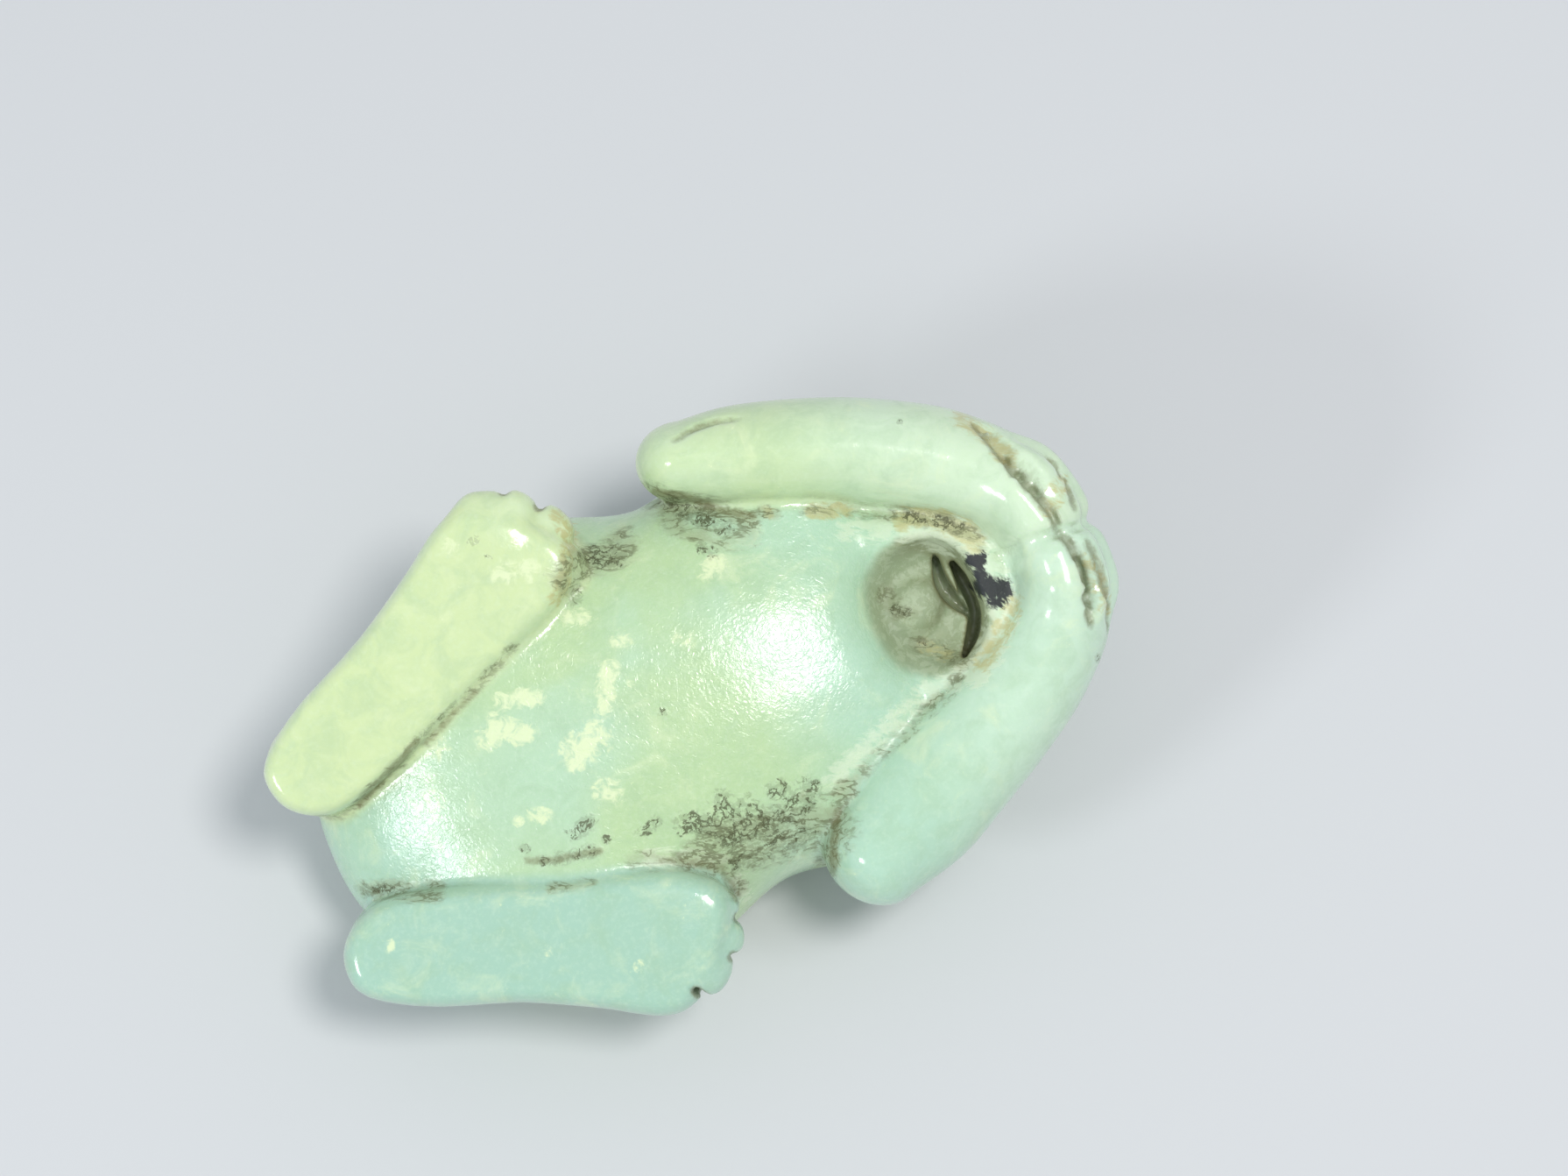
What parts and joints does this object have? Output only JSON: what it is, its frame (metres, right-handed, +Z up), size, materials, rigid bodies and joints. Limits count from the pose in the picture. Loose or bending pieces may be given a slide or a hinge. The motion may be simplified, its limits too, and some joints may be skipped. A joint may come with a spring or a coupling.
{
  "type": "crouching animal carving",
  "caption": "Pocket carving of a crouching four-limbed animal lying on its back, with flat hind soles, forepaws meeting in front and a drilled throat pocket.",
  "frame": {"origin": "centre of the bounding box, on the surface that the carving rests on", "axes": "+X from the rump towards the paws, +Y towards the left flank, +Z up, with the belly and soles facing up and leaning to the right flank"},
  "size_m": [0.055, 0.034, 0.0242],
  "materials": {
    "jade": "polished translucent pale green jade, cloudy white flecks, yellowish far side, brown earth in the creases, one black blotch by the pocket"
  },
  "bodies": {
    "root": {"crouching_animal": "jade"}
  },
  "joints": []
}
